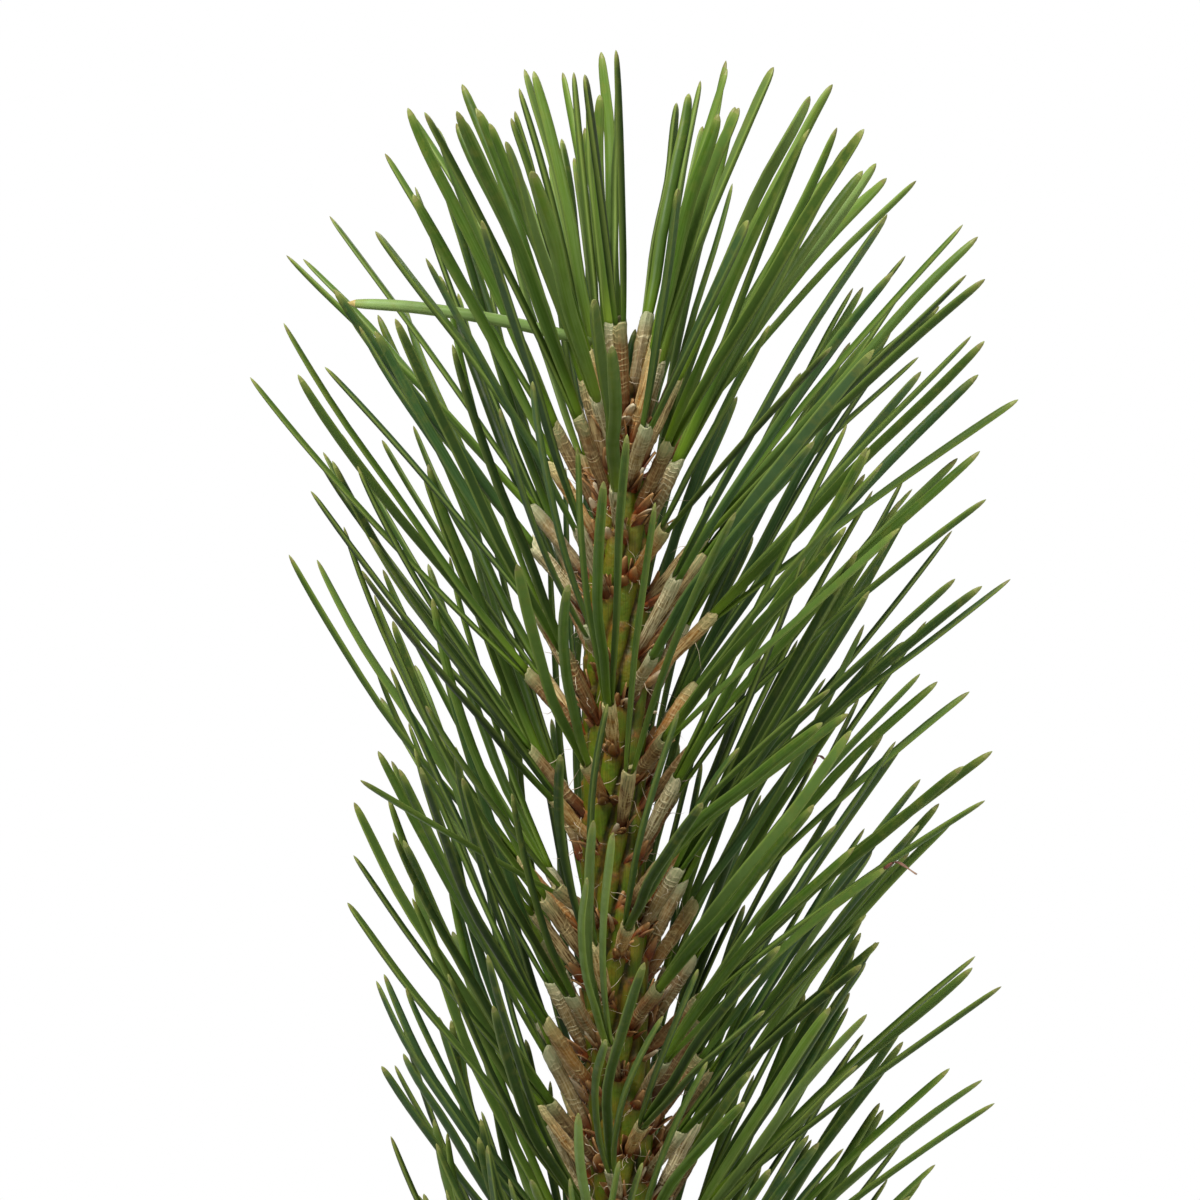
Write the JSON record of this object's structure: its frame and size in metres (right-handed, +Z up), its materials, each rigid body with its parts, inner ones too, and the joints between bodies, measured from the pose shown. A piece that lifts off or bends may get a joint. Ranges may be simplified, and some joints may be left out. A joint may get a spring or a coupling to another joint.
{
  "type": "potted ponderosa pine",
  "caption": "Young pine with one upright stem, bundled long needles in papery sheaths, standing in a plain round clay pot.",
  "frame": {"origin": "centre of the pot's flat underside, on the surface that it stands on", "axes": "+Z up along the stem, -Y towards the front, from where the picture is taken"},
  "size_m": [0.128, 0.128, 0.3683],
  "materials": {
    "clay": "matt unglazed fired clay",
    "potting_mix": "loose, dark and matt",
    "bark": "olive green young stem, brown and scaly at its foot",
    "needles": "satin green needles in grey-brown papery sheaths"
  },
  "bodies": {
    "root": {"pot": "clay", "potting_mix": "potting_mix", "stem": "bark", "needles_low_1": "needles", "needles_mid_1": "needles", "needles_high_1": "needles", "needles_low_2": "needles", "needles_mid_2": "needles", "needles_high_2": "needles", "needles_low_3": "needles", "needles_mid_3": "needles", "needles_high_3": "needles", "needles_low_4": "needles", "needles_mid_4": "needles", "needles_high_4": "needles", "needles_low_5": "needles", "needles_mid_5": "needles", "needles_high_5": "needles", "needles_low_6": "needles", "needles_mid_6": "needles", "needles_high_6": "needles", "needles_low_7": "needles", "needles_mid_7": "needles", "needles_high_7": "needles", "needles_low_8": "needles", "needles_mid_8": "needles", "needles_high_8": "needles", "leader_tuft": "needles"}
  },
  "joints": []
}
